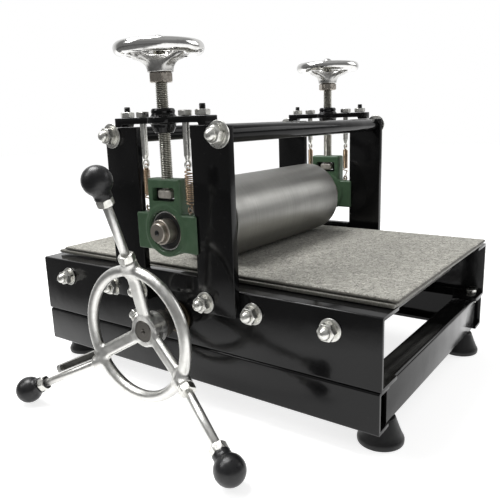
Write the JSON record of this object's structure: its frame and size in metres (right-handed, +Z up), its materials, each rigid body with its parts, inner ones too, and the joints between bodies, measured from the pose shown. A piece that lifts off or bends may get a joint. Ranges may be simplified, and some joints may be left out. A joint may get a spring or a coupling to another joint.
{
  "type": "tabletop printing press",
  "caption": "Tabletop etching press: felt-covered sliding bed under a steel roller, screw-down bearing housings, star wheel drive, black channel frame on rubber feet.",
  "frame": {"origin": "centre of the bounding box on the surface that the rubber feet stand on", "axes": "+Z up; X along the bed's travel; the star wheel is at the -Y side"},
  "size_m": [0.541, 0.562, 0.4363],
  "materials": {
    "black_paint": "gloss black stove enamel",
    "green_enamel": "dark green enamel on cast iron",
    "zinc": "bright zinc plate",
    "chrome": "polished chrome plate",
    "roller_steel": "fine-turned satin steel",
    "bearing_steel": "ground bearing steel",
    "bronze": "turned bronze",
    "spring_wire": "copper-washed spring wire",
    "rubber": "moulded black rubber",
    "knob_plastic": "black phenolic ball",
    "felt": "pressed grey wool felt",
    "bed_board": "grey-painted steel bed plate"
  },
  "bodies": {
    "frame": {"near_lower_rail": "black_paint", "near_side_rail": "black_paint", "near_bridge_plate": "black_paint", "near_shaft_bush": "bronze", "near_left_foot": "rubber", "near_left_post": "black_paint", "near_left_hanger_bolt": "zinc", "near_left_spring": "spring_wire", "near_right_foot": "rubber", "near_right_post": "black_paint", "near_right_hanger_bolt": "zinc", "near_right_spring": "spring_wire", "far_lower_rail": "black_paint", "far_side_rail": "black_paint", "far_bridge_plate": "black_paint", "far_shaft_bush": "bronze", "far_left_foot": "rubber", "far_left_post": "black_paint", "far_left_hanger_bolt": "zinc", "far_left_spring": "spring_wire", "far_right_foot": "rubber", "far_right_post": "black_paint", "far_right_hanger_bolt": "zinc", "far_right_spring": "spring_wire", "left_cross_member": "black_paint", "left_tie_tube": "black_paint", "left_tie_rod": "zinc", "right_cross_member": "black_paint", "right_tie_tube": "black_paint", "right_tie_rod": "zinc", "support_axle_1": "zinc", "support_axle_2": "zinc", "support_axle_3": "zinc", "support_axle_4": "zinc"},
    "bed": {"bed_board": "bed_board", "felt_blanket": "felt"},
    "drive_shaft": {"drive_roller": "roller_steel", "shaft_collar": "bearing_steel", "star_wheel": "chrome", "arm_rod_1": "chrome", "arm_knob_1": "knob_plastic", "arm_rod_2": "chrome", "arm_knob_2": "knob_plastic", "arm_rod_3": "chrome", "arm_knob_3": "knob_plastic"},
    "roller_carriage": {"near_bearing_housing": "green_enamel", "near_bearing": "bearing_steel", "far_bearing_housing": "green_enamel", "far_bearing": "bearing_steel"},
    "top_roller": {"top_roller": "roller_steel"},
    "near_screw": {"near_pressure_screw": "zinc", "near_jam_nut": "zinc", "near_handwheel": "chrome"},
    "far_screw": {"far_pressure_screw": "zinc", "far_jam_nut": "zinc", "far_handwheel": "chrome"},
    "support_roller_1": {"support_roller_1": "roller_steel"},
    "support_roller_2": {"support_roller_2": "roller_steel"},
    "support_roller_3": {"support_roller_3": "roller_steel"},
    "support_roller_4": {"support_roller_4": "roller_steel"}
  },
  "joints": [
    {"name": "drive_shaft_turn", "type": "hinge", "parent": "frame", "child": "drive_shaft", "pos_m": [0, 0.03678, 0.1104], "axis": [0, 1, 0], "range_deg": [-240, 240]},
    {"name": "bed_slide", "type": "slide", "parent": "frame", "child": "bed", "axis": [1, 0, 0], "range_m": [-0.1925, 0.1925]},
    {"name": "roller_lift", "type": "slide", "parent": "frame", "child": "roller_carriage", "axis": [0, 0, 1], "range_m": [0, 0.01], "deforming": ["near_left_spring", "near_right_spring", "far_left_spring", "far_right_spring"]},
    {"name": "top_roller_turn", "type": "hinge", "parent": "roller_carriage", "child": "top_roller", "pos_m": [0, 0.03678, 0.219], "axis": [0, 1, 0], "range_deg": [-211, 211]},
    {"name": "near_screw_turn", "type": "hinge", "parent": "roller_carriage", "child": "near_screw", "pos_m": [0, -0.15752, 0.219], "axis": [0, 0, 1], "range_deg": [0, 1801]},
    {"name": "far_screw_turn", "type": "hinge", "parent": "roller_carriage", "child": "far_screw", "pos_m": [0, 0.23108, 0.219], "axis": [0, 0, 1], "range_deg": [0, 1801]},
    {"name": "support_roller_1_turn", "type": "hinge", "parent": "frame", "child": "support_roller_1", "pos_m": [-0.208, 0.03678, 0.1335], "axis": [0, 1, 0], "range_deg": [-485, 485]},
    {"name": "support_roller_2_turn", "type": "hinge", "parent": "frame", "child": "support_roller_2", "pos_m": [-0.1125, 0.03678, 0.1335], "axis": [0, 1, 0], "range_deg": [-485, 485]},
    {"name": "support_roller_3_turn", "type": "hinge", "parent": "frame", "child": "support_roller_3", "pos_m": [0.1125, 0.03678, 0.1335], "axis": [0, 1, 0], "range_deg": [-485, 485]},
    {"name": "support_roller_4_turn", "type": "hinge", "parent": "frame", "child": "support_roller_4", "pos_m": [0.208, 0.03678, 0.1335], "axis": [0, 1, 0], "range_deg": [-485, 485]}
  ],
  "couplings": [
    {"joint": "bed_slide", "follows": "drive_shaft_turn", "m_per_rad": 0.0459},
    {"joint": "top_roller_turn", "follows": "drive_shaft_turn", "ratio": -0.87429},
    {"joint": "near_screw_turn", "follows": "roller_lift", "rad_per_m": 3141.6},
    {"joint": "far_screw_turn", "follows": "roller_lift", "rad_per_m": 3141.6},
    {"joint": "support_roller_1_turn", "follows": "drive_shaft_turn", "ratio": 2.0132},
    {"joint": "support_roller_2_turn", "follows": "drive_shaft_turn", "ratio": 2.0132},
    {"joint": "support_roller_3_turn", "follows": "drive_shaft_turn", "ratio": 2.0132},
    {"joint": "support_roller_4_turn", "follows": "drive_shaft_turn", "ratio": 2.0132}
  ]
}
